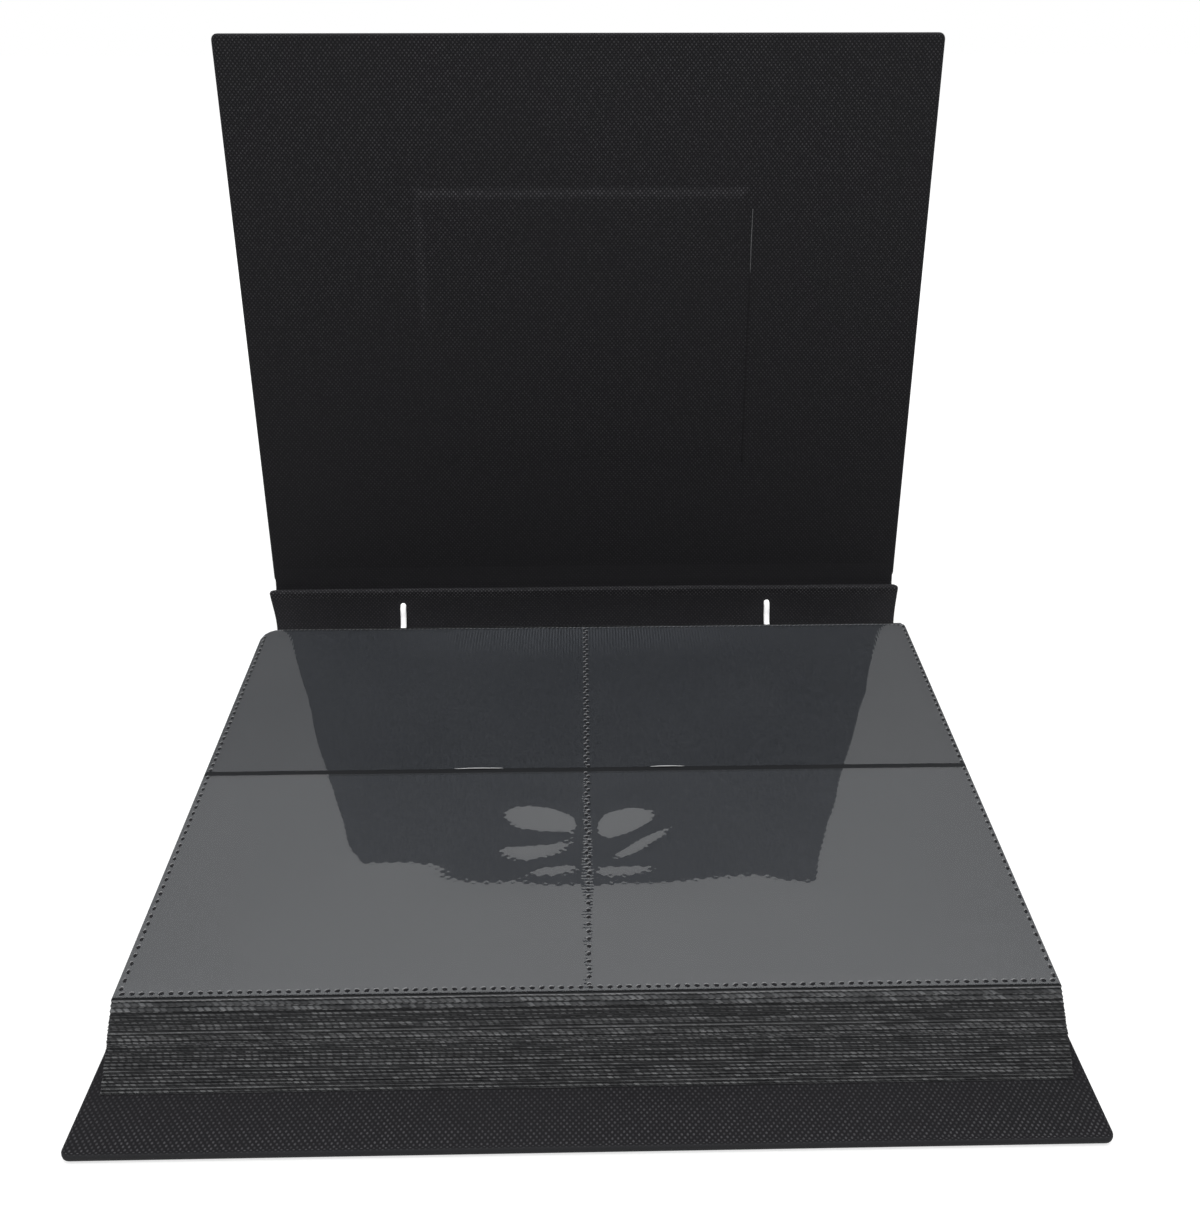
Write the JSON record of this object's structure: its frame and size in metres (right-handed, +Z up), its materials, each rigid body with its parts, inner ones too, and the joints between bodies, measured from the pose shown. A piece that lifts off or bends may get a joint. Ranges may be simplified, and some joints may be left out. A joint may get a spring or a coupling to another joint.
{
  "type": "photo album",
  "caption": "Large case-bound pocket photo album standing open: cloth covers on a spine, bound leaves with clear photo pockets, two binding posts and a window in the front cover.",
  "frame": {"origin": "centre of the back cover's underside, which lies on the table", "axes": "+X along the bound edge, +Y from the leaves' free edge to the bound edge and the spine, +Z up out of the back cover"},
  "size_m": [0.338, 0.3515, 0.3029],
  "materials": {
    "book_cloth": "near-black woven book cloth",
    "lining_cloth": "near-black woven lining cloth",
    "grey_board": "matte",
    "black_sheet": "matte",
    "stacked_leaves": "matte, film edges showing",
    "binding_strip": "matte",
    "clear_film": "clear glossy film",
    "white_nylon": "satin"
  },
  "bodies": {
    "back_cover": {"back_cover_board": "grey_board", "back_cover_cloth": "book_cloth", "back_cover_lining": "lining_cloth", "back_joint_cloth": "book_cloth", "back_binding_strip": "binding_strip", "post_base_left": "white_nylon", "post_left": "white_nylon", "post_base_right": "white_nylon", "post_right": "white_nylon", "leaf_section_1": "stacked_leaves", "leaf_section_2": "stacked_leaves", "leaf_section_3": "stacked_leaves", "leaf_section_4": "stacked_leaves", "leaf_section_5": "stacked_leaves", "leaf_section_6": "stacked_leaves", "leaf_section_7": "stacked_leaves", "leaf_section_8": "stacked_leaves", "turning_leaf_margins": "stacked_leaves"},
    "spine": {"spine_board": "grey_board", "spine_cloth": "book_cloth", "spine_lining": "lining_cloth", "post_cap_left": "white_nylon", "post_cap_right": "white_nylon"},
    "front_cover": {"front_joint_cloth": "book_cloth", "front_cover_board": "grey_board", "front_cover_cloth": "book_cloth", "front_cover_lining": "lining_cloth", "window_film": "clear_film", "window_backing": "black_sheet"},
    "third_leaf": {"third_leaf_sheet": "black_sheet", "third_leaf_back_film": "clear_film", "third_leaf_front_film": "clear_film", "third_leaf_under_back_film": "clear_film", "third_leaf_under_front_film": "clear_film"},
    "second_leaf": {"second_leaf_sheet": "black_sheet", "second_leaf_back_film": "clear_film", "second_leaf_front_film": "clear_film", "second_leaf_under_back_film": "clear_film", "second_leaf_under_front_film": "clear_film"},
    "top_leaf": {"top_leaf_sheet": "black_sheet", "top_leaf_back_film": "clear_film", "top_leaf_front_film": "clear_film", "top_leaf_under_back_film": "clear_film", "top_leaf_under_front_film": "clear_film"}
  },
  "joints": [
    {"name": "spine_hinge", "type": "hinge", "parent": "back_cover", "child": "spine", "pos_m": [0, 0.1415, 0.0005], "axis": [1, 0, 0], "range_deg": [-6, 30], "deforming": ["post_left", "post_right"]},
    {"name": "cover_hinge", "type": "hinge", "parent": "spine", "child": "front_cover", "pos_m": [0, 0.15718, 0.04357], "axis": [1, 0, 0], "range_deg": [-79, 70.9], "deforming": ["front_joint_cloth"]},
    {"name": "third_leaf_hinge", "type": "hinge", "parent": "back_cover", "child": "third_leaf", "pos_m": [0, 0.11963, 0.03723], "axis": [1, 0, 0], "range_deg": [-18, 0]},
    {"name": "second_leaf_hinge", "type": "hinge", "parent": "third_leaf", "child": "second_leaf", "pos_m": [0, 0.1209, 0.03838], "axis": [1, 0, 0], "range_deg": [-38, 0]},
    {"name": "top_leaf_hinge", "type": "hinge", "parent": "second_leaf", "child": "top_leaf", "pos_m": [0, 0.12216, 0.03953], "axis": [1, 0, 0], "range_deg": [-114, 0]}
  ]
}
